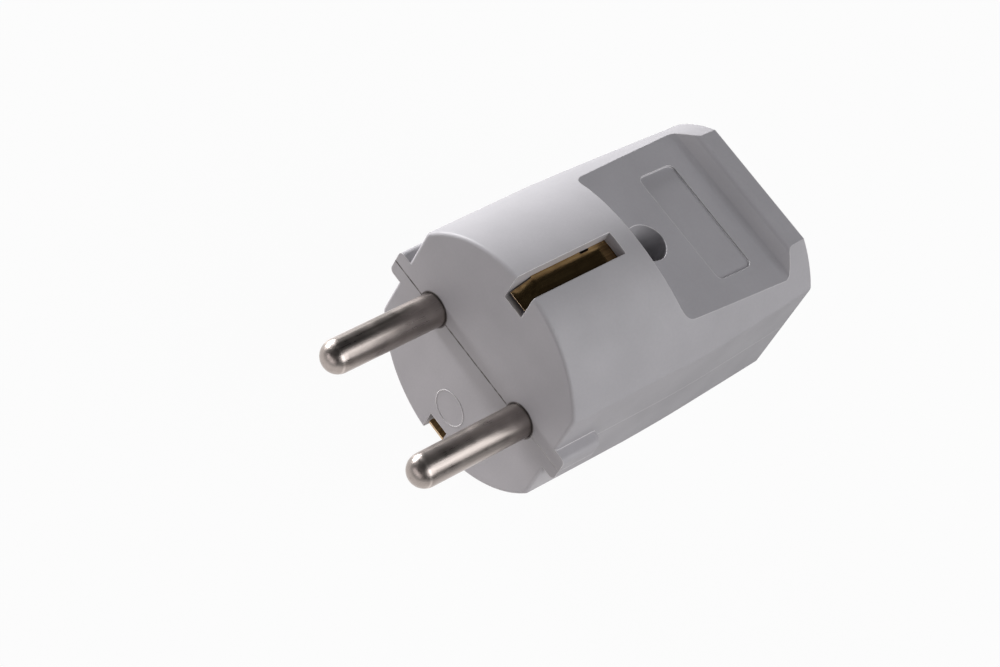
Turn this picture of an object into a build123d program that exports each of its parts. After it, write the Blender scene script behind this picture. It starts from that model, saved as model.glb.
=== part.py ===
from build123d import *
from math import sqrt
import os

os.makedirs("parts", exist_ok=True)

# An earthed two-pin mains plug for wiring by hand, in millimetres.
# The origin is the middle of the front face, between the two contact pins.
# X runs along the line of the pins, Y backwards into the body, Z upwards.
# The body is two shells that meet on the plane through both pins.

# Contact pins
pin_diameter = 4.8
pin_spacing = 19.0
pin_reach = 19.0
pin_groove_length = 1.0
pin_groove_depth = 0.2
pin_head_diameter = 7.6
pin_head_length = 9.0
pin_head_flats = 6.6
pin_collar_length = 3.0
pin_collar_wall = 1.5

# Body outline: depths are measured inwards from the round front
body_length = 45.8
body_radius = 18.4
rear_taper = 0.9
taper_start = 18.0
side_flat_depth = 2.3
rear_flat_depth = 3.55
narrowing_start = 25.0
narrowing_bend_radius = 180.0
side_edge_radius = 1.2
front_edge_radius = 0.5
rear_edge_chamfer = 0.4
wall = 2.4
front_wall = 3.2

# Guide ribs on the sides of the front
rib_length = 7.4
rib_half_thickness = 2.2
rib_inset = 0.3
rib_corner_radius = 1.5
rib_edge_radius = 0.8

# Finger grips, one on each shell
step_top = 19.4
step_foot = 21.4
grip_front_depth = 4.95
grip_rear_depth = 6.6
grip_foot_radius = 2.5
ramp_length = 1.25
rim_length = 3.4
rim_depth = 3.86
rim_rear_depth = 3.9
ramp_radius = 0.9
label_half_width = 9.0
label_length = 6.7
label_to_ramp = 3.55
label_depth = 0.3
label_corner_radius = 1.0

# Earth slots and earth strap
slot_width = 3.58
slot_length = 16.5
slot_depth = 4.58
lower_slot_depth = 3.58
strap_depth = 1.95
strap_thickness = 0.6
strap_width = 5.2
strap_web_front = 17.4
strap_bend_radius = 1.0
tongue_width = 3.1
tongue_front = 0.45
tongue_length = 2.85
tongue_drop = 1.5
lower_tongue_rise = 0.8
strap_notch_start = 12.0
strap_notch_length = 1.5
strap_notch_depth = 1.1

# Earth terminal block, riveted to the strap between the pins
block_width = 6.0
block_length = 7.0
block_top = 3.3
block_bottom = -5.0
block_edge = 0.3
rivet_height = -3.4
rivet_diameter = 2.0
rivet_head_diameter = 3.2
rivet_head_height = 0.7

# Terminals
wire_hole_diameter = 3.0
wire_hole_depth = 7.0
terminal_setback = 3.1
terminal_screw_length = 2.4
terminal_head_diameter = 4.4
terminal_head_height = 1.6
wire_plate_width = 2.0
wire_plate_thickness = 0.3
wire_plate_height = 0.75
wire_plate_hook = 0.7

# Closing screw, its washer and nut, and their bosses
closing_screw_at = 24.6
access_hole_diameter = 5.9
access_floor = 4.0
closing_boss_wall = 1.3
closing_screw_length = 10.0
washer_thickness = 0.5
nut_across_flats = 5.5
nut_height = 2.4

# Threads and drives
thread_diameter = 3.0
screw_head_diameter = 5.4
screw_head_height = 2.0
screw_tip_edge = 0.35
drive_slot_width = 0.8
drive_slot_depth = 0.9

# Cord entry and cord clamp
cord_hole_diameter = 8.8
cord_hole_mouth = 0.8
cord_collar_length = 2.0
cord_collar_wall = 1.6
cord_seat_diameter = 8.2
clamp_from_rear = 9.6
clamp_width = 5.4
clamp_screw_spacing = 17.6
clamp_half_length = 11.4
clamp_foot_thickness = 2.6
clamp_foot_height = -0.8
clamp_arch_wall = 2.2
clamp_tooth_height = 0.6
clamp_tooth_width = 1.2
clamp_tooth_reach = 2.0
clamp_corner_radius = 1.0
clamp_screw_diameter = 2.9
clamp_screw_length = 11.0
clamp_boss_diameter = 6.0
cradle_spacing = 8.4

# Inner ribs and locating posts
inner_rib_thickness = 1.5
mid_rib_setback = 1.9
partition_inner = 3.8
partition_thickness = 1.2
keeper_thickness = 1.2
keeper_width = 6.0
wire_gap_diameter = 4.2
post_diameter = 2.4
post_height = 2.0
post_pillar_diameter = 5.0
post_inset = 4.5
post_y = 27.6

# Clearances
running_gap = 0.05
seat_gap = 0.1
free_gap = 0.3

# Places worked out from the sizes above
pin_x = pin_spacing / 2
collar_end = front_wall + pin_collar_length
head_start = collar_end + seat_gap
head_end = head_start + pin_head_length
mid_rib_start = head_start + mid_rib_setback
stop_rib_start = head_end + seat_gap
stop_rib_end = stop_rib_start + inner_rib_thickness
rear_radius = body_radius - rear_taper
body_half_width = body_radius - side_flat_depth
rear_half_width = body_radius - rear_flat_depth
rib_reach = body_radius - rib_inset
grip_front_height = body_radius - grip_front_depth
grip_rear_height = body_radius - grip_rear_depth
rim_height = body_radius - rim_depth
rim_rear_height = body_radius - rim_rear_depth
ramp_end = body_length - rim_length
ramp_start = ramp_end - ramp_length
label_end = ramp_start - label_to_ramp
label_start = label_end - label_length
step_slope = (step_foot - step_top) / grip_front_depth
grip_slope = (grip_rear_height - grip_front_height) / (ramp_start - step_foot)
rim_slope = (rim_rear_height - rim_height) / rim_length
slot_floor = body_radius - slot_depth
lower_slot_floor = body_radius - lower_slot_depth
earth_height = body_radius - strap_depth
strap_underside = earth_height - strap_thickness
strap_web_rear = strap_web_front + strap_thickness
tongue_end = tongue_front + tongue_length
block_rear = strap_web_front - running_gap
block_front = block_rear - block_length
terminal_y = head_end - terminal_setback
earth_screw_y = block_rear - terminal_setback - running_gap
plate_top = wire_plate_height + wire_plate_thickness
terminal_tip = plate_top + running_gap
closing_boss_diameter = access_hole_diameter + 2 * closing_boss_wall
closing_seat = access_floor + washer_thickness + 2 * running_gap
cavity_rear = body_length - wall
clamp_at = body_length - clamp_from_rear
clamp_screw_x = clamp_screw_spacing / 2
clamp_foot_top = clamp_foot_height + clamp_foot_thickness
clamp_boss_top = clamp_foot_height - running_gap
post_x = body_half_width - post_inset
rib_root = wall / 2
beyond = 5.0
full = 2 * body_length


def body_plan(inset):
    """The body seen from above: parallel sides that draw in towards the cord."""
    with BuildSketch(Plane.XY) as plan:
        with BuildLine():
            side = FilletPolyline(
                (body_half_width - inset, 0),
                (body_half_width - inset, narrowing_start),
                (rear_half_width - inset, body_length),
                radius=narrowing_bend_radius,
            )
            mirror(side, about=Plane.YZ)
            Line((body_half_width - inset, 0), (inset - body_half_width, 0))
            Line((rear_half_width - inset, body_length), (inset - rear_half_width, body_length))
        make_face()
    return plan.sketch


def body_round(inset):
    """Half of the body's round outline, for turning about the Y axis, longer than the body at both ends."""
    taper = (body_radius - rear_radius) / (body_length - taper_start)
    with BuildSketch(Plane.XY) as outline:
        with BuildLine():
            Polyline(
                (0, -beyond),
                (body_radius - inset, -beyond),
                (body_radius - inset, taper_start),
                (rear_radius - inset - beyond * taper, body_length + beyond),
                (0, body_length + beyond),
                close=True,
            )
        make_face()
    return outline.sketch


def facing(outline, side):
    """The same outline for the upper shell, or turned over for the lower one."""
    return outline if side > 0 else mirror(outline, about=Plane.XY)


def above_grip(side):
    """All that lies above the finger grip of one shell, seen from the side."""
    front = step_top - beyond * step_slope
    rear = body_length + beyond
    with BuildSketch(Plane.YZ) as outline:
        with BuildLine():
            FilletPolyline(
                (front, body_radius + beyond),
                (step_foot, grip_front_height),
                (ramp_start, grip_rear_height),
                (ramp_end, rim_height),
                (rear, rim_rear_height + beyond * rim_slope),
                radius=(grip_foot_radius, ramp_radius, ramp_radius),
            )
            Polyline(
                (front, body_radius + beyond),
                (rear, body_radius + beyond),
                (rear, rim_rear_height + beyond * rim_slope),
            )
        make_face()
    return facing(outline.sketch, side)


def above_inner_grip(depth, side):
    """All that lies above the roof inside a shell, parallel to its step and its grip."""
    front = step_foot - depth * sqrt(1 + step_slope ** 2)
    low = grip_front_height - depth
    rear = body_length + beyond
    high = body_radius + beyond
    with BuildSketch(Plane.YZ) as outline:
        with BuildLine():
            Polyline(
                (front + depth * step_slope, low),
                (front - (high - grip_front_height) * step_slope, high),
                (rear, high),
                (rear, low + (rear - step_foot) * grip_slope),
                close=True,
            )
        make_face()
    return facing(outline.sketch, side)


def body_block(inset, side):
    """One half of the body as a solid block, at a given depth under its skin."""
    extrude(body_plan(inset), amount=side * (body_radius + beyond))
    revolve(body_round(inset), axis=Axis.Y, mode=Mode.INTERSECT)


def bar(x, y, z, mode=Mode.ADD):
    """A box between two limits along each axis."""
    centre = (sum(x) / 2, sum(y) / 2, sum(z) / 2)
    with Locations(centre):
        Box(abs(x[1] - x[0]), abs(y[1] - y[0]), abs(z[1] - z[0]), mode=mode)


def rod_y(x, diameter, start, end, z=0, mode=Mode.ADD):
    """A round rod along Y."""
    with Locations((x, (start + end) / 2, z)):
        Cylinder(diameter / 2, end - start, rotation=(90, 0, 0), mode=mode)


def rod_z(x, y, diameter, low, high, mode=Mode.ADD):
    """A round rod along Z."""
    with Locations((x, y, (low + high) / 2)):
        Cylinder(diameter / 2, high - low, mode=mode)


def head_section(gap):
    """The section of a pin's head: a circle with flats above and below."""
    with BuildSketch(Plane.XZ) as section:
        Circle(pin_head_diameter / 2 + gap)
        Rectangle(2 * pin_head_diameter, pin_head_flats + 2 * gap, mode=Mode.INTERSECT)
    return section.sketch


def inner_space(side, depth):
    """The inside of one half of the body, at a given depth under the wall's outer face."""
    extra = wall - depth
    body_block(depth, side)
    extrude(above_inner_grip(depth, side), amount=full, both=True, mode=Mode.SUBTRACT)
    bar((-full, full), (-beyond, front_wall - extra), (-full, full), Mode.SUBTRACT)
    bar((-full, full), (cavity_rear + extra, full), (-full, full), Mode.SUBTRACT)


def skin(side):
    """The outside of one half of the body, with its grip and its rounded edges."""
    body_block(0, side)
    long_edges = edges().filter_by(lambda e: e.bounding_box().size.Y > beyond)
    fillet(long_edges.filter_by(lambda e: abs(e.center().Z) > 1), radius=side_edge_radius)
    extrude(above_grip(side), amount=full, both=True, mode=Mode.SUBTRACT)
    off_seam = edges().filter_by(lambda e: abs(e.center().Z) > 0.1)
    fillet(off_seam.filter_by(lambda e: abs(e.center().Y) < 0.01), radius=front_edge_radius)
    off_seam = edges().filter_by(lambda e: abs(e.center().Z) > 0.1)
    chamfer(off_seam.filter_by(lambda e: abs(e.center().Y - body_length) < 0.01), length=rear_edge_chamfer)


def guide_ribs(side):
    """The two ribs that key the front of the plug into its socket."""
    inner = body_half_width - rib_root
    with BuildSketch(Plane.XY) as ribs:
        with Locations(((inner + rib_reach) / 2, rib_length / 2)):
            Rectangle(rib_reach - inner, rib_length)
        fillet(ribs.vertices().sort_by(lambda v: v.X + v.Y)[-1:], radius=rib_corner_radius)
        mirror(about=Plane.YZ)
    extrude(ribs.sketch, amount=side * rib_half_thickness)
    outer = edges().filter_by(lambda e: abs(abs(e.center().X) - rib_reach) < 0.01)
    fillet(outer.filter_by(Axis.Y).filter_by(lambda e: abs(e.center().Z) > 1), radius=rib_edge_radius)


def inner_ribs(side):
    """Ribs, pin collars, pillars and the closing boss, up to the wall."""
    depth = (0, side * full)
    for x in (-pin_x, pin_x):
        rod_y(x, pin_head_diameter + 2 * pin_collar_wall, 0, collar_end)
    for start in (mid_rib_start, stop_rib_start):
        bar((-full, full), (start, start + inner_rib_thickness), depth)
    for x in (-1, 1):
        sides = (x * partition_inner, x * (partition_inner + partition_thickness))
        bar(sides, (front_wall - rib_root, stop_rib_end), depth)
    keeper_front = strap_web_rear + running_gap
    keeper = (-keeper_width / 2, keeper_width / 2)
    keeper_height = (side * (abs(block_bottom) + seat_gap), side * full)
    bar(keeper, (keeper_front, keeper_front + keeper_thickness), keeper_height)
    collar = cord_hole_diameter + 2 * cord_collar_wall
    rod_y(0, collar, cavity_rear - cord_collar_length, cavity_rear + rib_root)
    low, high = sorted(depth)
    rod_z(0, closing_screw_at, closing_boss_diameter, low, high)
    for x in (-post_x, post_x):
        rod_z(x, post_y, post_pillar_diameter, low, high)


with BuildPart() as upper_cavity:
    inner_space(1, wall)

with BuildPart() as lower_cavity:
    inner_space(-1, wall)

with BuildPart() as upper_rib_room:
    inner_space(1, wall - rib_root)

with BuildPart() as lower_rib_room:
    inner_space(-1, wall - rib_root)

with BuildPart() as upper_ribs:
    inner_ribs(1)
    add(upper_rib_room.part, mode=Mode.INTERSECT)

with BuildPart() as lower_ribs:
    inner_ribs(-1)
    for y in (clamp_at - cradle_spacing / 2, clamp_at, clamp_at + cradle_spacing / 2):
        half = inner_rib_thickness / 2
        bar((-full, full), (y - half, y + half), (clamp_boss_top, -full))
    for x in (-clamp_screw_x, clamp_screw_x):
        rod_z(x, clamp_at, clamp_boss_diameter, -full, clamp_boss_top)
    add(lower_rib_room.part, mode=Mode.INTERSECT)


def openings(side):
    """What passes through either shell: pins, strap, terminals, wires and cord."""
    for x in (-pin_x, pin_x):
        rod_y(x, pin_diameter + 2 * running_gap, -beyond, head_start, mode=Mode.SUBTRACT)
        pocket = Pos(x, collar_end, 0) * head_section(seat_gap)
        extrude(pocket, amount=collar_end - stop_rib_start, mode=Mode.SUBTRACT)
        rod_y(x, wire_gap_diameter, head_end, strap_web_front, mode=Mode.SUBTRACT)
    rod_y(0, cord_hole_diameter, clamp_at + cradle_spacing / 2, body_length + beyond, mode=Mode.SUBTRACT)
    rod_y(0, cord_seat_diameter, clamp_at - cradle_spacing, clamp_at + cradle_spacing, mode=Mode.SUBTRACT)
    slot = (-slot_width / 2, slot_width / 2)
    floor = slot_floor if side > 0 else lower_slot_floor
    bar(slot, (-beyond, front_wall), (side * floor, side * full), Mode.SUBTRACT)
    lane_low = strap_underside - running_gap
    bar(slot, (-beyond, slot_length), (side * lane_low, side * full), Mode.SUBTRACT)
    lane = strap_width / 2 + seat_gap
    lane_rear = strap_web_rear + running_gap
    lane_height = (side * lane_low, side * (earth_height + running_gap))
    bar((-lane, lane), (front_wall, lane_rear), lane_height, Mode.SUBTRACT)
    bend_low = lane_low - seat_gap
    bar((-lane, lane), (strap_web_front - strap_bend_radius, lane_rear), (side * bend_low, side * earth_height), Mode.SUBTRACT)
    room = block_width / 2 + free_gap
    block_room = (0, side * (abs(block_bottom) + seat_gap))
    bar((-room, room), (stop_rib_start - seat_gap, lane_rear), block_room, Mode.SUBTRACT)
    mouth = cord_hole_diameter / 2
    with Locations((0, body_length - cord_hole_mouth / 2, 0)):
        Cone(mouth, mouth + cord_hole_mouth, cord_hole_mouth, rotation=(-90, 0, 0), mode=Mode.SUBTRACT)


with BuildPart() as upper_shell:
    skin(1)
    add(upper_cavity.part, mode=Mode.SUBTRACT)
    add(upper_ribs.part)
    guide_ribs(1)
    openings(1)
    # the recessed label field in the grip, left plain
    grip_plane = Plane(
        origin=(0, step_foot, grip_front_height),
        x_dir=(1, 0, 0),
        z_dir=(0, -grip_slope, 1),
    )
    with BuildSketch(grip_plane):
        with Locations((0, (label_start + label_end) / 2 - step_foot)):
            RectangleRounded(2 * label_half_width, label_end - label_start, label_corner_radius)
    extrude(amount=-label_depth, mode=Mode.SUBTRACT)
    # the hole down to the head of the closing screw
    rod_z(0, closing_screw_at, access_hole_diameter, access_floor, full, mode=Mode.SUBTRACT)
    rod_z(0, closing_screw_at, thread_diameter + 2 * free_gap, -1, access_floor + 1, mode=Mode.SUBTRACT)
    for x in (-post_x, post_x):
        rod_z(x, post_y, post_diameter + 2 * seat_gap, -1, post_height + free_gap, mode=Mode.SUBTRACT)
upper_shell.part.label = "upper_shell"
export_step(upper_shell.part, "parts/upper_shell.step")

with BuildPart() as lower_shell:
    skin(-1)
    add(lower_cavity.part, mode=Mode.SUBTRACT)
    add(lower_ribs.part)
    guide_ribs(-1)
    openings(-1)
    # the six-sided seat that keeps the nut from turning, and a blind hole below
    with BuildSketch(Plane.XY):
        with Locations((0, closing_screw_at)):
            RegularPolygon(nut_across_flats / 2 + seat_gap, 6, major_radius=False)
    extrude(amount=-nut_height - 2 * seat_gap, mode=Mode.SUBTRACT)
    screw_tip = closing_seat - closing_screw_length
    rod_z(0, closing_screw_at, thread_diameter + 2 * free_gap, screw_tip - free_gap, 0, mode=Mode.SUBTRACT)
    for x in (-clamp_screw_x, clamp_screw_x):
        floor = clamp_foot_top - clamp_screw_length - free_gap
        rod_z(x, clamp_at, clamp_screw_diameter + 2 * running_gap, floor, 0, mode=Mode.SUBTRACT)
    for x in (-post_x, post_x):
        rod_z(x, post_y, post_diameter, -1, post_height)
lower_shell.part.label = "lower_shell"
export_step(lower_shell.part, "parts/lower_shell.step")


def contact_pin():
    """A turned contact pin with a flattened head, drilled for a wire and tapped for its screw."""
    tip = -pin_reach
    radius = pin_diameter / 2
    neck = radius - pin_groove_depth
    with BuildSketch(Plane.XY) as profile:
        with BuildLine():
            Polyline(
                (0, tip),
                (0, head_start),
                (radius, head_start),
                (radius, pin_groove_length),
                (neck, pin_groove_length),
                (neck, 0),
                (radius, 0),
                (radius, tip + radius),
            )
            RadiusArc((radius, tip + radius), (0, tip), radius)
        make_face()
    revolve(profile.sketch, axis=Axis.Y)
    extrude(Pos(0, head_start, 0) * head_section(0), amount=-pin_head_length)
    rod_y(0, wire_hole_diameter, head_end - wire_hole_depth, head_end + 1, mode=Mode.SUBTRACT)
    rod_z(0, terminal_y, thread_diameter + 2 * running_gap, 0, pin_head_diameter, mode=Mode.SUBTRACT)


def slotted_screw(diameter, length, head_diameter, head_height):
    """A cheese head screw that stands on Z, with the seat of its head at zero."""
    rod_z(0, 0, diameter, -length, 0)
    chamfer(faces().sort_by(Axis.Z)[0].edges(), length=screw_tip_edge)
    rod_z(0, 0, head_diameter, 0, head_height)
    slot_depth = (head_height - drive_slot_depth, head_height + 1)
    bar((-full, full), (-drive_slot_width / 2, drive_slot_width / 2), slot_depth, Mode.SUBTRACT)


def wire_plate():
    """A thin leaf that keeps a terminal screw off the strands of its wire."""
    half = wire_plate_width / 2
    front = -wire_hole_depth + seat_gap
    rear = seat_gap
    bar((-half, half), (front, rear + wire_plate_thickness), (wire_plate_height, plate_top))
    bar((-half, half), (rear, rear + wire_plate_thickness), (wire_plate_height, plate_top + wire_plate_hook))


def save(part, name, place):
    """Put a part in its place and write it to its own file."""
    placed = place * part
    placed.label = name
    export_step(placed, f"parts/{name}.step")


with BuildPart() as pin:
    contact_pin()

with BuildPart() as terminal_screw:
    slotted_screw(thread_diameter, terminal_screw_length, terminal_head_diameter, terminal_head_height)

with BuildPart() as leaf:
    wire_plate()

terminal_seat = terminal_tip + terminal_screw_length
for side_name, x in (("left", -pin_x), ("right", pin_x)):
    save(pin.part, f"{side_name}_pin", Pos(x, 0, 0))
    save(terminal_screw.part, f"{side_name}_terminal_screw", Pos(x, terminal_y, terminal_seat))
    save(leaf.part, f"{side_name}_wire_plate", Pos(x, head_end, 0))

with BuildPart() as earth_strap:
    half = strap_width / 2
    arm = earth_height - strap_thickness / 2
    web = strap_web_front + strap_thickness / 2
    with BuildSketch(Plane.YZ) as fold:
        with BuildLine():
            upper_tongue = ((tongue_end, arm), (tongue_front, arm - tongue_drop))
            lower_tongue = ((tongue_front, -arm - lower_tongue_rise), (tongue_end, -arm))
            FilletPolyline(*lower_tongue, (web, -arm), (web, arm), *upper_tongue, radius=strap_bend_radius)
        trace(line_width=strap_thickness)
    extrude(fold.sketch, amount=half, both=True)
    for side in (1, -1):
        for x in (-1, 1):
            edge = x * tongue_width / 2
            height = (side * slot_floor, side * full)
            bar((edge, x * full), (-beyond, tongue_end), height, Mode.SUBTRACT)
        notch = (strap_notch_start, strap_notch_start + strap_notch_length)
        height = (side * slot_floor, side * full)
        bar((-half - 1, strap_notch_depth - half), notch, height, Mode.SUBTRACT)
    web_depth = (strap_web_front - 1, strap_web_rear + 1)
    rod_y(0, wire_hole_diameter, *web_depth, mode=Mode.SUBTRACT)
    rod_y(0, rivet_diameter + 2 * running_gap, *web_depth, z=rivet_height, mode=Mode.SUBTRACT)
save(earth_strap.part, "earth_strap", Pos(0, 0, 0))

with BuildPart() as earth_terminal:
    half = block_width / 2
    bar((-half, half), (block_front, block_rear), (block_bottom, block_top))
    chamfer(edges().filter_by(Axis.Y), length=block_edge)
    rod_y(0, wire_hole_diameter, strap_web_rear - wire_hole_depth, block_rear + 1, mode=Mode.SUBTRACT)
    rod_z(0, earth_screw_y, thread_diameter + 2 * running_gap, 0, block_top + 1, mode=Mode.SUBTRACT)
    rivet_end = strap_web_rear + running_gap
    rod_y(0, rivet_diameter, block_rear - 1, rivet_end, z=rivet_height)
    rod_y(0, rivet_head_diameter, rivet_end, rivet_end + rivet_head_height, z=rivet_height)
save(earth_terminal.part, "earth_terminal", Pos(0, 0, 0))
save(terminal_screw.part, "earth_screw", Pos(0, earth_screw_y, terminal_seat))
save(leaf.part, "earth_wire_plate", Pos(0, strap_web_rear, 0))

with BuildPart() as closing_screw:
    slotted_screw(thread_diameter, closing_screw_length, screw_head_diameter, screw_head_height)
save(closing_screw.part, "closing_screw", Pos(0, closing_screw_at, closing_seat))

with BuildPart() as closing_washer:
    rod_z(0, 0, screw_head_diameter, 0, washer_thickness)
    rod_z(0, 0, thread_diameter + 2 * seat_gap, -1, washer_thickness + 1, mode=Mode.SUBTRACT)
save(closing_washer.part, "closing_washer", Pos(0, closing_screw_at, access_floor + running_gap))

with BuildPart() as closing_nut:
    with BuildSketch(Plane.XY):
        RegularPolygon(nut_across_flats / 2, 6, major_radius=False)
    extrude(amount=nut_height)
    rod_z(0, 0, thread_diameter + 2 * running_gap, -1, nut_height + 1, mode=Mode.SUBTRACT)
save(closing_nut.part, "closing_nut", Pos(0, closing_screw_at, -nut_height - seat_gap))

with BuildPart() as cord_clamp:
    seat = cord_seat_diameter / 2
    arch = seat + clamp_arch_wall
    half = clamp_width / 2
    with BuildSketch(Plane.XZ) as section:
        with Locations((0, (clamp_foot_height + clamp_foot_top) / 2)):
            Rectangle(2 * clamp_half_length, clamp_foot_thickness)
        Circle(arch)
        with Locations((0, clamp_foot_height - arch)):
            Rectangle(4 * arch, 2 * arch, mode=Mode.SUBTRACT)
        Circle(seat, mode=Mode.SUBTRACT)
    extrude(section.sketch, amount=half, both=True)
    fillet(edges().filter_by(Axis.Z).group_by(Axis.X)[0], radius=clamp_corner_radius)
    fillet(edges().filter_by(Axis.Z).group_by(Axis.X)[-1], radius=clamp_corner_radius)
    # two cross teeth that bite into the cord's jacket
    tooth = (-clamp_tooth_reach, clamp_tooth_reach)
    for y in (-half + clamp_tooth_width, half - clamp_tooth_width):
        sides = (y - clamp_tooth_width / 2, y + clamp_tooth_width / 2)
        bar(tooth, sides, (seat - clamp_tooth_height, arch - clamp_tooth_height))
    for x in (-clamp_screw_x, clamp_screw_x):
        rod_z(x, 0, clamp_screw_diameter + 2 * seat_gap, -full, full, mode=Mode.SUBTRACT)
save(cord_clamp.part, "cord_clamp", Pos(0, clamp_at, 0))

with BuildPart() as clamp_screw:
    slotted_screw(clamp_screw_diameter, clamp_screw_length, screw_head_diameter, screw_head_height)
for side_name, x in (("left", -clamp_screw_x), ("right", clamp_screw_x)):
    save(clamp_screw.part, f"{side_name}_clamp_screw", Pos(x, clamp_at, clamp_foot_top + running_gap))
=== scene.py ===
# %% [markdown]
# An earthed mains plug in light grey plastic lies on a white table, with its two round pins towards
# the camera. Its shells, pins, earth strap and inner parts come from the part's own solids, at
# their real place and size in metres. This script gives them their materials, adds the small
# details that the solids don't carry, and sets up the camera and the studio light.

# %% Open the model and measure it
from math import cos, pi, radians, sin

import bmesh
import bpy
from mathutils import Matrix, Vector


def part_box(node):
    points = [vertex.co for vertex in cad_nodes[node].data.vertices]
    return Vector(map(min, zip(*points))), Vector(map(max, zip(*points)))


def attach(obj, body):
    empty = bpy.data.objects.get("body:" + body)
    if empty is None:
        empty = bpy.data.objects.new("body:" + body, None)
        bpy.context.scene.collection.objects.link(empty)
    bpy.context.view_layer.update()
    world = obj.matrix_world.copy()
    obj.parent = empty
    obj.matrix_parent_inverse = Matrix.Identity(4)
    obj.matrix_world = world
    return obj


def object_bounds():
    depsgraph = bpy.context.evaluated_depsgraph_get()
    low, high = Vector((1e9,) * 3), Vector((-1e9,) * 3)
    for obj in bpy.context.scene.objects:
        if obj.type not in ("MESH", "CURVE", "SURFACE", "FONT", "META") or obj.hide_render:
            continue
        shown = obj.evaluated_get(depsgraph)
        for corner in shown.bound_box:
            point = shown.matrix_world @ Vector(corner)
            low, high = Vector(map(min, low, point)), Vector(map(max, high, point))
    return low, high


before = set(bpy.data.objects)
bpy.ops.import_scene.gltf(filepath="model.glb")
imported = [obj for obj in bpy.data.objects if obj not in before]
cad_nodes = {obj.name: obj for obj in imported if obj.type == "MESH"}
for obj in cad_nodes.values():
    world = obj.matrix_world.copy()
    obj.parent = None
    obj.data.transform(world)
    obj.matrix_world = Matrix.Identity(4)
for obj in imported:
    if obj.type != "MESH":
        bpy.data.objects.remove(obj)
cad_low, cad_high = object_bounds()
mm = 0.001
print("nodes:", len(cad_nodes), "size in mm:", [round(v / mm, 1) for v in cad_high - cad_low])

# %% [markdown]
# The camera stands where the photographer's stood: in front of the plug and above it, a little to
# the right, and turned on its side so that the pins point to the lower left. Its place was found
# by fitting the pins, whose size is standard, and the plug's outlines. It is written as a position
# and three directions: the picture's right, the picture's up and the way back from the scene to the
# lens. A long lens from a little under half a metre away keeps the lines nearly parallel.

# %% Set up the camera
camera_place = Vector((118.81, -256.6, 349.04)) * mm
picture_right = Vector((0.59116, 0.7295, 0.34404))
picture_up = Vector((-0.76097, 0.36309, 0.53767))
towards_lens = Vector((0.26731, -0.57965, 0.76977))
lens_data = bpy.data.cameras.new("plug_camera")
lens_data.sensor_width = 36.0
lens_data.lens = 123.8
lens_data.clip_start = 0.02
camera = bpy.data.objects.new("plug_camera", lens_data)
camera_turn = Matrix((picture_right, picture_up, towards_lens)).transposed().to_4x4()
camera.matrix_world = Matrix.Translation(camera_place) @ camera_turn
bpy.context.scene.collection.objects.link(camera)
bpy.context.scene.camera = camera
print("camera is", round(camera_place.length / mm), "mm from the front face")

# %% [markdown]
# Every finish below is built from the same few kinds of shader node, so five short helpers keep
# the recipes readable. The first adds a node and fills its inputs, either with a number or with a
# link from another node. The others wrap the four steps that come up most: arithmetic, mapping
# one range of values to another, laying one colour over another, and soft noise.

# %% Helpers for shader nodes
def add_node(tree, kind, inputs=None, **settings):
    """Add a node, with its settings, and fill its inputs with values or links."""
    made = tree.nodes.new(kind)
    for name, value in settings.items():
        setattr(made, name, value)
    for socket, value in (inputs or {}).items():
        if isinstance(value, bpy.types.NodeSocket):
            tree.links.new(value, made.inputs[socket])
        else:
            made.inputs[socket].default_value = value
    return made


def maths(tree, operation, *values):
    """One step of arithmetic on links or numbers."""
    return add_node(tree, "ShaderNodeMath", dict(enumerate(values)), operation=operation).outputs[0]


def remap(tree, value, low, high, start=0.0, end=1.0):
    """Turn low to high into start to end, and stop there."""
    ends = {"Value": value, "From Min": low, "From Max": high, "To Min": start, "To Max": end}
    return add_node(tree, "ShaderNodeMapRange", ends).outputs[0]


def lay_over(tree, share, under, over, kind="MIX"):
    """Lay one colour over another by a share from 0 to 1."""
    layers = {0: share, 6: under, 7: over}
    return add_node(tree, "ShaderNodeMix", layers, data_type="RGBA", blend_type=kind).outputs[2]


def cloud_noise(tree, place, size, detail=2.0, stretch=(1, 1, 1)):
    """Soft noise with cells of a given size in metres, drawn out along each axis by stretch."""
    scale = [1 / (size * s) for s in stretch]
    moved = add_node(tree, "ShaderNodeMapping", {"Vector": place, "Scale": scale}).outputs[0]
    return add_node(tree, "ShaderNodeTexNoise", {"Vector": moved, "Scale": 1.0, "Detail": detail}).outputs[0]
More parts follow.
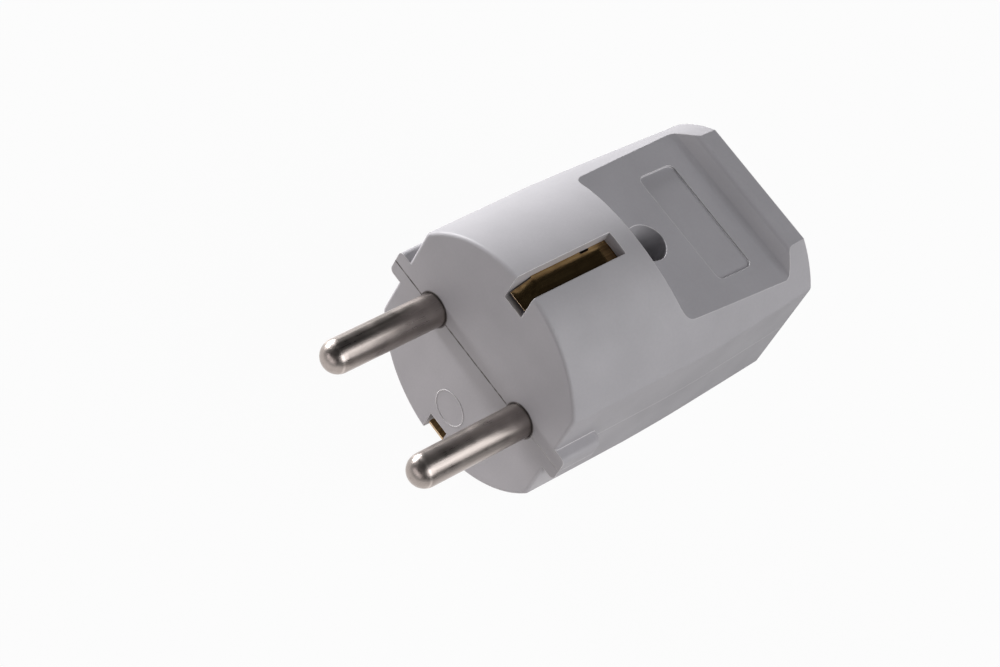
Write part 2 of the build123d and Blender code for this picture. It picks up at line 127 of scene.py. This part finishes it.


# %% [markdown]
# No moulded or turned edge is truly sharp: it has a small round that catches the light as a thin
# bright line, and that line is most of what makes a product look real. It could be cut into every
# solid as a fillet, at the cost of thousands of faces. Here the Bevel shader node rounds the
# normals near each edge instead. Where the rounded normal leans away from the face's own, there is
# an edge, so the same node also gives an edge mask. The finishes use it for painted highlights, a
# paler colour on the edges (on the brass partly the bare metal of its cut edges), and for smoother
# edges. The fine grain of the surface is added as a bump on top. All materials need this, so it is
# a node group with its own inputs.

# %% The group for rounded edges and grain
def edge_and_grain_group():
    """A group that puts out a rounded, grainy normal and a mask of the edges."""
    group = bpy.data.node_groups.new("edge_and_grain", "ShaderNodeTree")
    for name in ("Edge Radius", "Grain Size", "Grain Depth"):
        group.interface.new_socket(name, in_out="INPUT", socket_type="NodeSocketFloat")
    group.interface.new_socket("Normal", in_out="OUTPUT", socket_type="NodeSocketVector")
    group.interface.new_socket("Edge", in_out="OUTPUT", socket_type="NodeSocketFloat")
    given = add_node(group, "NodeGroupInput").outputs
    rounded = add_node(group, "ShaderNodeBevel", {"Radius": given["Edge Radius"]}, samples=6).outputs[0]
    face = add_node(group, "ShaderNodeNewGeometry").outputs["Normal"]
    lean = add_node(group, "ShaderNodeVectorMath", {0: rounded, 1: face}, operation="DOT_PRODUCT")
    edge = remap(group, lean.outputs["Value"], 0.995, 0.85)
    place = add_node(group, "ShaderNodeTexCoord").outputs["Object"]
    per_grain = maths(group, "DIVIDE", 1.0, given["Grain Size"])
    grain = add_node(group, "ShaderNodeTexNoise", {"Vector": place, "Scale": per_grain, "Detail": 2.0})
    bump = {"Distance": given["Grain Depth"], "Height": grain.outputs[0], "Normal": rounded}
    normal = add_node(group, "ShaderNodeBump", bump).outputs[0]
    add_node(group, "NodeGroupOutput", {"Normal": normal, "Edge": edge})
    return group


edge_and_grain = edge_and_grain_group()
print("group", edge_and_grain.name, "has", len(edge_and_grain.nodes), "nodes")

# %% [markdown]
# Metal parts keep fine lines along the way they were drawn, rolled or slid into a socket. A noise
# whose cells are hundreds of times longer than they are wide gives such lines without a picture.
# The pins and the strap both lie along Y, so one group serves them, with the length and the
# thickness of a line as inputs. Two layers of different size keep the lines from looking combed.

# %% The group for drawn lines along the metal
def drawn_lines_group():
    """A group that puts out a mask of fine lines along Y."""
    group = bpy.data.node_groups.new("drawn_lines", "ShaderNodeTree")
    for name in ("Thickness", "Length"):
        group.interface.new_socket(name, in_out="INPUT", socket_type="NodeSocketFloat")
    group.interface.new_socket("Lines", in_out="OUTPUT", socket_type="NodeSocketFloat")
    given = add_node(group, "NodeGroupInput").outputs
    place = add_node(group, "ShaderNodeTexCoord").outputs["Object"]
    across = maths(group, "DIVIDE", 1.0, given["Thickness"])
    along = maths(group, "DIVIDE", 1.0, given["Length"])
    scale = add_node(group, "ShaderNodeCombineXYZ", {"X": across, "Y": along, "Z": across}).outputs[0]
    drawn = add_node(group, "ShaderNodeVectorMath", {0: place, 1: scale}, operation="MULTIPLY").outputs[0]
    fine = add_node(group, "ShaderNodeTexNoise", {"Vector": drawn, "Scale": 1.0, "Detail": 3.0}).outputs[0]
    broad = add_node(group, "ShaderNodeTexNoise", {"Vector": drawn, "Scale": 0.3, "Detail": 1.0}).outputs[0]
    both = maths(group, "ADD", maths(group, "MULTIPLY", fine, 0.6), maths(group, "MULTIPLY", broad, 0.4))
    add_node(group, "NodeGroupOutput", {"Lines": remap(group, both, 0.35, 0.65)})
    return group


drawn_lines = drawn_lines_group()
print("group", drawn_lines.name, "has", len(drawn_lines.nodes), "nodes")

# %% [markdown]
# Every material begins in the same way: a Principled shader, the object's own coordinates, and the
# group for rounded edges and grain feeding its normal. One function does that and hands back what
# the recipe needs next. Values that are the same all over go straight onto the shader's sockets,
# and only values that change over the surface are linked.

# %% Start a material
def start_material(name, edge_radius, grain_size, grain_depth, **everywhere):
    """A material with rounded, grainy edges, and the values that are the same all over it."""
    made = bpy.data.materials.new(name)
    made.use_nodes = True
    tree = made.node_tree
    shader = tree.nodes["Principled BSDF"]
    for socket, value in everywhere.items():
        shader.inputs[socket].default_value = value
    place = add_node(tree, "ShaderNodeTexCoord").outputs["Object"]
    sizes = {"Edge Radius": edge_radius, "Grain Size": grain_size, "Grain Depth": grain_depth}
    skin = add_node(tree, "ShaderNodeGroup", node_tree=edge_and_grain)
    for socket, value in sizes.items():
        skin.inputs[socket].default_value = value
    tree.links.new(skin.outputs["Normal"], shader.inputs["Normal"])
    return made, tree, shader, place, skin.outputs["Edge"]


def feed(tree, shader, socket, value):
    """Link a value that changes over the surface to the shader."""
    tree.links.new(value, shader.inputs[socket])


print("each material starts from", edge_and_grain.name)

# %% [markdown]
# Three places on the shells get a darker tone. Each is found by a mask, a value that rises there
# and is 0 elsewhere. A dark hairline of painted shade runs where the two shells meet on the plane
# Z = 0. It fades in and out, and is widest on the front. Painted shade also marks a dark gap round
# each pin where it leaves the front face. Both are only a few tenths of a millimetre wide, so the
# shade in them is painted in colour instead of coming from geometry.
# The level faces of the grip look darker in the picture than these lamps make them, so they get
# painted shade, a darker tone to match. It is only a match, and says nothing about the real plastic.

# %% Masks on the shells
pin_radius = 2.4 * mm
pin_at = sum(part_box("right_pin")[end][0] for end in (0, 1)) / 2
grip_start = 20 * mm


def product(tree, *factors):
    """Multiply several masks."""
    result = factors[0]
    for factor in factors[1:]:
        result = maths(tree, "MULTIPLY", result, factor)
    return result


def painted_grip_shade(tree, axes):
    """The faces behind the round front that look up or down, and not to a side, which get painted shade."""
    normal = add_node(tree, "ShaderNodeNewGeometry").outputs["Normal"]
    facing = add_node(tree, "ShaderNodeSeparateXYZ", {0: normal}).outputs
    not_sideways = remap(tree, maths(tree, "ABSOLUTE", facing["X"]), 0.1, 0.2, 1.0, 0.0)
    up_or_down = remap(tree, maths(tree, "ABSOLUTE", facing["Z"]), 0.4, 0.6)
    behind_front = remap(tree, axes["Y"], grip_start - 0.5 * mm, grip_start + 0.5 * mm)
    return product(tree, not_sideways, up_or_down, behind_front)


def seam_mask(tree, place, axes, strength):
    """The hairline of painted shade at Z = 0, wider on the front and fainter on the right side."""
    half_extra = remap(tree, axes["Y"], 0.3 * mm, 0.9 * mm, 0.05 * mm, 0.0)
    from_line = maths(tree, "SUBTRACT", maths(tree, "ABSOLUTE", axes["Z"]), half_extra)
    line = remap(tree, from_line, 0.05 * mm, 0.11 * mm, 1.0, 0.0)
    patches = remap(tree, cloud_noise(tree, place, 1.5 * mm), 0.35, 0.55, 0.5, 1.0)
    front = remap(tree, axes["Y"], 0.1 * mm, 1.0 * mm, strength, 0.35 * strength)
    right = remap(tree, axes["X"], pin_at + 1.5 * mm, pin_at + 2.8 * mm, 1.0, 0.25)
    return product(tree, line, patches, front, right)


def pin_gap_mask(tree, axes, strength):
    """The painted shade in the gap round each pin at the front face."""
    beside = maths(tree, "SUBTRACT", maths(tree, "ABSOLUTE", axes["X"]), pin_at)
    around = add_node(tree, "ShaderNodeCombineXYZ", {"X": beside, "Y": axes["Z"]}).outputs[0]
    length = add_node(tree, "ShaderNodeVectorMath", {0: around}, operation="LENGTH")
    edges = (pin_radius + 0.2 * mm, pin_radius + 0.34 * mm)
    gap = remap(tree, length.outputs["Value"], *edges, strength, 0.0)
    return product(tree, gap, remap(tree, axes["Y"], 0, 1 * mm, 1, 0))


print("pins stand", round(pin_at / mm, 2), "mm from the middle")

# %% [markdown]
# The shells are moulded in a light, slightly cool grey. The mould's surface is finely eroded, which
# leaves a satin skin: even from afar, with a soft grain close up. A faint cloudy change in tone and
# smoother edges keep it from looking like paint, and the edges get a painted highlight in a paler
# grey. The same recipe, without the dark lines of painted shade, serves the small ring on the front,
# which is painted a little lighter as a highlight, and the darker cord clamp inside.

# %% Grey plastic
def grey_plastic(name, colour, roughness, seam_strength, gap_strength):
    """Moulded satin plastic, with painted highlights on the edges, and painted shade at the seam, round the
    pins and on the grip.
    """
    skin = (0.2 * mm, 0.16 * mm, 0.012 * mm)
    made, tree, shader, place, edge = start_material(name, *skin, **{"Specular IOR Level": 0.25})
    axes = add_node(tree, "ShaderNodeSeparateXYZ", {0: place}).outputs
    cloudy = remap(tree, cloud_noise(tree, place, 7 * mm), 0.3, 0.7)
    flecks = remap(tree, cloud_noise(tree, place, 0.4 * mm, detail=3.0), 0.3, 0.7, 0.0, 0.12)
    darker, paler = ([share * c for c in colour] + [1] for share in (0.96, 1.03))
    tone = lay_over(tree, cloudy, darker, paler)
    tone = lay_over(tree, flecks, tone, (0.72, 0.71, 0.74, 1), "MULTIPLY")
    # painted highlight: the edges turn a paler grey
    tone = lay_over(tree, maths(tree, "MULTIPLY", edge, 0.75), tone, (0.95, 0.93, 0.94, 1))
    # painted shade: the level faces of the grip are darkened
    tone = lay_over(tree, painted_grip_shade(tree, axes), tone, (0.85, 0.85, 0.86, 1), "MULTIPLY")
    seam = seam_mask(tree, place, axes, seam_strength)
    # painted shade: the seam's hairline and the gaps round the pins turn nearly black
    painted_seam_and_gap_shade = maths(tree, "MAXIMUM", seam, pin_gap_mask(tree, axes, gap_strength))
    feed(tree, shader, "Base Color", lay_over(tree, painted_seam_and_gap_shade, tone, (0.05, 0.04, 0.035, 1)))
    dull = remap(tree, cloudy, 0.0, 1.0, roughness + 0.05, roughness - 0.05)
    feed(tree, shader, "Roughness", maths(tree, "SUBTRACT", dull, maths(tree, "MULTIPLY", edge, 0.12)))
    return made


shell_finish = grey_plastic("satin_grey_plastic", (0.412, 0.402, 0.423), 0.5, 0.95, 0.85)
ring_finish = grey_plastic("ring_plastic_painted_highlight", (0.44, 0.432, 0.445), 0.45, 0.0, 0.0)
clamp_finish = grey_plastic("clamp_grey_plastic", (0.33, 0.325, 0.33), 0.55, 0.0, 0.0)
print("plastics:", shell_finish.name, ring_finish.name, clamp_finish.name)

# %% [markdown]
# The pins are turned from brass and plated with nickel. The plating is a warm grey metal, less
# white than chrome, with a satin shine. Every time the plug went into a socket the contacts drew
# fine lines along the pins, so lines run along Y. They scatter the shine and are a little darker.
# A thin paler ring, a painted highlight, runs round the dome of each tip, standing in for the light
# caught by a small edge on the real tip that the modelled dome lacks.

# %% Nickel plating
def nickel_plating(name, ring_at):
    """Satin nickel, with lines along Y and a thin pale ring of painted highlight on the domed tip."""
    skin = (0.12 * mm, 0.22 * mm, 0.008 * mm)
    made, tree, shader, place, edge = start_material(name, *skin, Metallic=1.0)
    lines = add_node(tree, "ShaderNodeGroup", node_tree=drawn_lines)
    lines.inputs["Thickness"].default_value = 0.12 * mm
    lines.inputs["Length"].default_value = 9 * mm
    haze = cloud_noise(tree, place, 2.5 * mm)
    tone = lay_over(tree, remap(tree, haze, 0.3, 0.7), (0.3, 0.27, 0.255, 1), (0.385, 0.345, 0.325, 1))
    tone = lay_over(tree, maths(tree, "MULTIPLY", lines.outputs[0], 0.3), tone, (0.25, 0.215, 0.195, 1))
    along = add_node(tree, "ShaderNodeSeparateXYZ", {0: place}).outputs["Y"]
    from_ring = maths(tree, "ABSOLUTE", maths(tree, "SUBTRACT", along, ring_at))
    # painted highlight: a thin pale ring round the domed tip
    ring = remap(tree, from_ring, 0.05 * mm, 0.25 * mm, 0.28, 0.0)
    feed(tree, shader, "Base Color", lay_over(tree, ring, tone, (0.85, 0.78, 0.74, 1)))
    dull = remap(tree, haze, 0.3, 0.7, 0.24, 0.32)
    scratched = maths(tree, "MULTIPLY", lines.outputs[0], 0.12)
    feed(tree, shader, "Roughness", maths(tree, "ADD", dull, scratched))
    return made


tip_ring_at = cad_low.y + 1.6 * mm
pin_finish = nickel_plating("satin_nickel", tip_ring_at)
print("pale ring at", round(tip_ring_at / mm, 1), "mm")

# %% [markdown]
# The earth strap is bare spring brass. The sheet was rolled, which leaves lines along it, and air
# and fingers have turned most of it brown since. Only where it rubs on the socket's springs, and on
# the freshly cut edges, does the gold show. So the finish starts brown and gets dark and gold lines.
# The edge mask then lays a pale peach over every edge: partly the bare gold of the cut edges, partly
# a painted highlight.

# %% Brass
def aged_brass(name, brown, gold):
    """Rolled brass with a brown bloom, dark lines, and bright edges that are partly bare metal, partly
    painted highlight.
    """
    made, tree, shader, place, edge = start_material(name, 0.1 * mm, 0.25 * mm, 0.005 * mm, Metallic=1.0)
    lines = add_node(tree, "ShaderNodeGroup", node_tree=drawn_lines)
    lines.inputs["Thickness"].default_value = 0.35 * mm
    lines.inputs["Length"].default_value = 14 * mm
    bloom = cloud_noise(tree, place, 1.8 * mm, detail=4.0)
    tone = lay_over(tree, remap(tree, lines.outputs[0], 0.2, 0.9), gold, brown)
    tone = lay_over(tree, remap(tree, bloom, 0.45, 0.75, 0.0, 0.6), tone, (0.16, 0.085, 0.035, 1))
    # painted highlight, partly the bare gold of cut edges: the edges turn pale peach
    tone = lay_over(tree, maths(tree, "MULTIPLY", edge, 0.85), tone, (0.95, 0.72, 0.5, 1))
    feed(tree, shader, "Base Color", tone)
    feed(tree, shader, "Roughness", remap(tree, bloom, 0.3, 0.7, 0.12, 0.22))
    return made


brass_finish = aged_brass("rolled_brass", (0.26, 0.165, 0.075, 1), (0.5, 0.34, 0.155, 1))
print("brass:", brass_finish.name)

# %% [markdown]
# The screws, the nut and the clamp screws are steel with a thin zinc coat, which is bluish with
# touches of straw. Turning leaves fine rings round each screw's axis. The material gets the axis
# from the node's own box, moves the pattern there with a Mapping node, and lets the distance from
# the axis drive a sine wave.

# %% Zinc plated steel
def zinc_steel(name, axis_x, axis_y):
    """Zinc coated steel with turning rings round an upright axis, and edges painted paler as a highlight."""
    made, tree, shader, place, edge = start_material(name, 0.08 * mm, 0.2 * mm, 0.003 * mm, Metallic=1.0)
    move = {"Vector": place, "Location": (-axis_x, -axis_y, 0)}
    centred = add_node(tree, "ShaderNodeMapping", move).outputs[0]
    flat = add_node(tree, "ShaderNodeVectorMath", {0: centred, 1: (1, 1, 0)}, operation="MULTIPLY").outputs[0]
    away = add_node(tree, "ShaderNodeVectorMath", {0: flat}, operation="LENGTH").outputs["Value"]
    rings = maths(tree, "SINE", maths(tree, "MULTIPLY", away, 2 * pi / (0.14 * mm)))
    stain = cloud_noise(tree, place, 1.2 * mm, detail=3.0)
    tone = lay_over(tree, remap(tree, stain, 0.4, 0.7), (0.62, 0.65, 0.68, 1), (0.68, 0.62, 0.48, 1))
    # painted highlight: the edges turn a paler grey
    tone = lay_over(tree, maths(tree, "MULTIPLY", edge, 0.5), tone, (0.85, 0.86, 0.87, 1))
    feed(tree, shader, "Base Color", tone)
    feed(tree, shader, "Roughness", remap(tree, rings, -1.0, 1.0, 0.25, 0.4))
    return made


def upright_axis(name):
    """The X and Y of the middle of a node's box."""
    low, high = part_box(name)
    return (low[0] + high[0]) / 2, (low[1] + high[1]) / 2


print("closing screw stands at", [round(v / mm, 1) for v in upright_axis("closing_screw")])

# %% [markdown]
# The washer under the closing screw is vulcanised fibre, a hard dark red board pressed from paper.
# Its look is matt, with short darker fibres in it.

# %% Fibre
def pressed_fibre(name):
    """Matt red fibre board with darker flecks, and edges painted paler as a highlight."""
    made, tree, shader, place, edge = start_material(name, 0.08 * mm, 0.12 * mm, 0.01 * mm)
    fibres = cloud_noise(tree, place, 0.15 * mm, detail=3.0, stretch=(4, 1, 1))
    tone = lay_over(tree, remap(tree, fibres, 0.4, 0.65), (0.3, 0.055, 0.03, 1), (0.16, 0.03, 0.02, 1))
    # painted highlight: the edges turn a paler red
    tone = lay_over(tree, maths(tree, "MULTIPLY", edge, 0.4), tone, (0.42, 0.12, 0.08, 1))
    feed(tree, shader, "Base Color", tone)
    feed(tree, shader, "Roughness", remap(tree, fibres, 0.3, 0.7, 0.6, 0.8))
    return made


washer_finish = pressed_fibre("pressed_fibre")
print("fibre:", washer_finish.name)

# %% [markdown]
# Each solid now gets its finish, by its name. Solids that aren't in the list are of steel, and each
# of them gets a material of its own, because its rings run round its own axis.

# %% Put the finishes on the solids
finishes = {
    "upper_shell": shell_finish,
    "lower_shell": shell_finish,
    "cord_clamp": clamp_finish,
    "left_pin": pin_finish,
    "right_pin": pin_finish,
    "earth_strap": brass_finish,
    "earth_terminal": brass_finish,
    "closing_washer": washer_finish,
}
for name, solid in cad_nodes.items():
    if name.endswith("_plate"):
        finish = brass_finish
    elif name in finishes:
        finish = finishes[name]
    else:
        finish = zinc_steel("steel_" + name, *upright_axis(name))
    solid.data.materials.clear()
    solid.data.materials.append(finish)
    print(name, "wears", finish.name)

# %% [markdown]
# The lower half of the front face carries a small plain ring, the mark of a round insert in the
# mould. It stands less than a tenth of a millimetre proud, so it shows as a thin light line, made
# lighter still by a paler grey that is a painted highlight. Its profile, a low bump with its foot
# just inside the face, is turned round an axis along Y.

# %% Ring on the front face
def new_piece(name, bm, finish):
    """Turn finished bmesh data into an object that rides on the plug."""
    bmesh.ops.remove_doubles(bm, verts=bm.verts, dist=0.001 * mm)
    bmesh.ops.recalc_face_normals(bm, faces=bm.faces)
    for face in bm.faces:
        face.smooth = True
    mesh = bpy.data.meshes.new(name)
    bm.to_mesh(mesh)
    bm.free()
    mesh.materials.append(finish)
    piece = bpy.data.objects.new(name, mesh)
    bpy.context.scene.collection.objects.link(piece)
    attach(piece, "root")
    print(name, "has", len(mesh.polygons), "faces")
    return piece


ring_radius = 2.65 * mm
ring_middle = Vector((0.15, 0, -10.65)) * mm
bm = bmesh.new()
bump = [(-0.13, 0.03), (-0.07, -0.05), (0, -0.07), (0.07, -0.05), (0.13, 0.03)]
corners = [bm.verts.new(ring_middle + Vector((ring_radius + out * mm, deep * mm, 0))) for out, deep in bump]
edges = [bm.edges.new(pair) for pair in zip(corners, corners[1:] + corners[:1])]
turn = {"cent": ring_middle, "axis": (0, 1, 0), "angle": 2 * pi, "steps": 96, "use_merge": True}
bmesh.ops.spin(bm, geom=corners + edges, **turn)
new_piece("face_ring", bm, ring_finish)

# %% [markdown]
# The studio is a plain table that runs out of the picture on every side. Light Path tells
# the shader which kind of ray is asking. The camera's rays meet nine parts of white glow and one
# part of the lit table, so the picture's ground is white and a trace of the shadow stays. Rays from
# a shiny surface meet not quite half of that glow, which lights the undersides of the pins without
# burning them out. Every other ray meets a grey surface that throws a little light back up.

# %% Lay the table
def white_backdrop(name, albedo, shadow_share, mirrored_share):
    """A grey surface that the camera sees as white, with a share of its shadows left in."""
    made = bpy.data.materials.new(name)
    made.use_nodes = True
    tree = made.node_tree
    tree.nodes.clear()
    lit = add_node(tree, "ShaderNodeBsdfDiffuse", {"Color": (albedo, albedo, albedo, 1)}).outputs[0]
    glow = add_node(tree, "ShaderNodeEmission", {"Color": (1, 1, 1, 1), "Strength": 1.06}).outputs[0]
    path = add_node(tree, "ShaderNodeLightPath").outputs
    straight = maths(tree, "MULTIPLY", path["Is Camera Ray"], 1.0 - shadow_share)
    share = maths(tree, "ADD", straight, maths(tree, "MULTIPLY", path["Is Glossy Ray"], mirrored_share))
    both = add_node(tree, "ShaderNodeMixShader", {0: share, 1: lit, 2: glow}).outputs[0]
    add_node(tree, "ShaderNodeOutputMaterial", {"Surface": both})
    return made


table_half_width = 1.5
bm = bmesh.new()
bmesh.ops.create_grid(bm, x_segments=1, y_segments=1, size=table_half_width)
bmesh.ops.translate(bm, verts=bm.verts, vec=(0, 0, cad_low.z))
table_mesh = bpy.data.meshes.new("table_top")
bm.to_mesh(table_mesh)
bm.free()
table = bpy.data.objects.new("table_top", table_mesh)
table_mesh.materials.append(white_backdrop("table_white", 0.25, 0.1, 0.45))
bpy.context.scene.collection.objects.link(table)
print("table at", round(cad_low.z / mm, 2), "mm")

# %% [markdown]
# The photograph is lit like a product shot on a bright table. The round side that looks left is the
# brightest although it also looks up, and the grip, which looks straight up, is dark. That points
# to a long, low strip on the left. A broad lamp stands at the rear right, and a weak, slightly warm
# one lies low in front. Below the pins the table itself glows a little, which the camera doesn't
# see. The strengths were found by trying: render, compare with the photograph, change, repeat.
# A lamp's place is a turn from +X towards +Y and a height above the plug's middle, in degrees.

# %% Hang the lamps
lamp_distance = 0.65


def area_lamp(name, place, back, width, depth, power, colour):
    """A rectangular lamp at a place, with its back towards the direction named back."""
    data = bpy.data.lights.new(name, "AREA")
    data.shape = "RECTANGLE"
    data.size = width
    data.size_y = depth
    data.energy = power
    data.color = colour
    lamp = bpy.data.objects.new(name, data)
    lamp.location = place
    lamp.rotation_mode = "QUATERNION"
    lamp.rotation_quaternion = back.to_track_quat("Z", "Y")
    bpy.context.scene.collection.objects.link(lamp)
    return lamp


def soft_lamp(name, turn, height, width, depth, power, colour=(1, 1, 1)):
    """A lamp that looks at the plug's middle from the studio's distance."""
    flat = cos(radians(height))
    way = Vector((flat * cos(radians(turn)), flat * sin(radians(turn)), sin(radians(height))))
    place = (cad_low + cad_high) / 2 + way * lamp_distance
    return area_lamp(name, place, way, width, depth, power, colour)


soft_lamp("left_strip", 180, 3, 0.42, 0.15, 10.0)
soft_lamp("right", 15, 45, 0.8, 0.5, 4.2)
soft_lamp("front", 270, 6, 0.8, 0.2, 1.1, colour=(1.0, 0.95, 0.95))
below_pins = Vector((0, cad_low.y * 1.2, cad_low.z + 0.2 * mm))
down = Vector((0, 0, -1))
table_glow = area_lamp("table_glow", below_pins, down, 0.16, 0.07, 0.024, (1.0, 0.95, 0.92))
table_glow.visible_camera = False
world = bpy.data.worlds.new("studio")
world.use_nodes = True
world_glow = world.node_tree.nodes["Background"]
world_glow.inputs["Color"].default_value = (1, 1, 1, 1)
world_glow.inputs["Strength"].default_value = 0.03
bpy.context.scene.world = world
bpy.context.scene.view_settings.view_transform = "Standard"
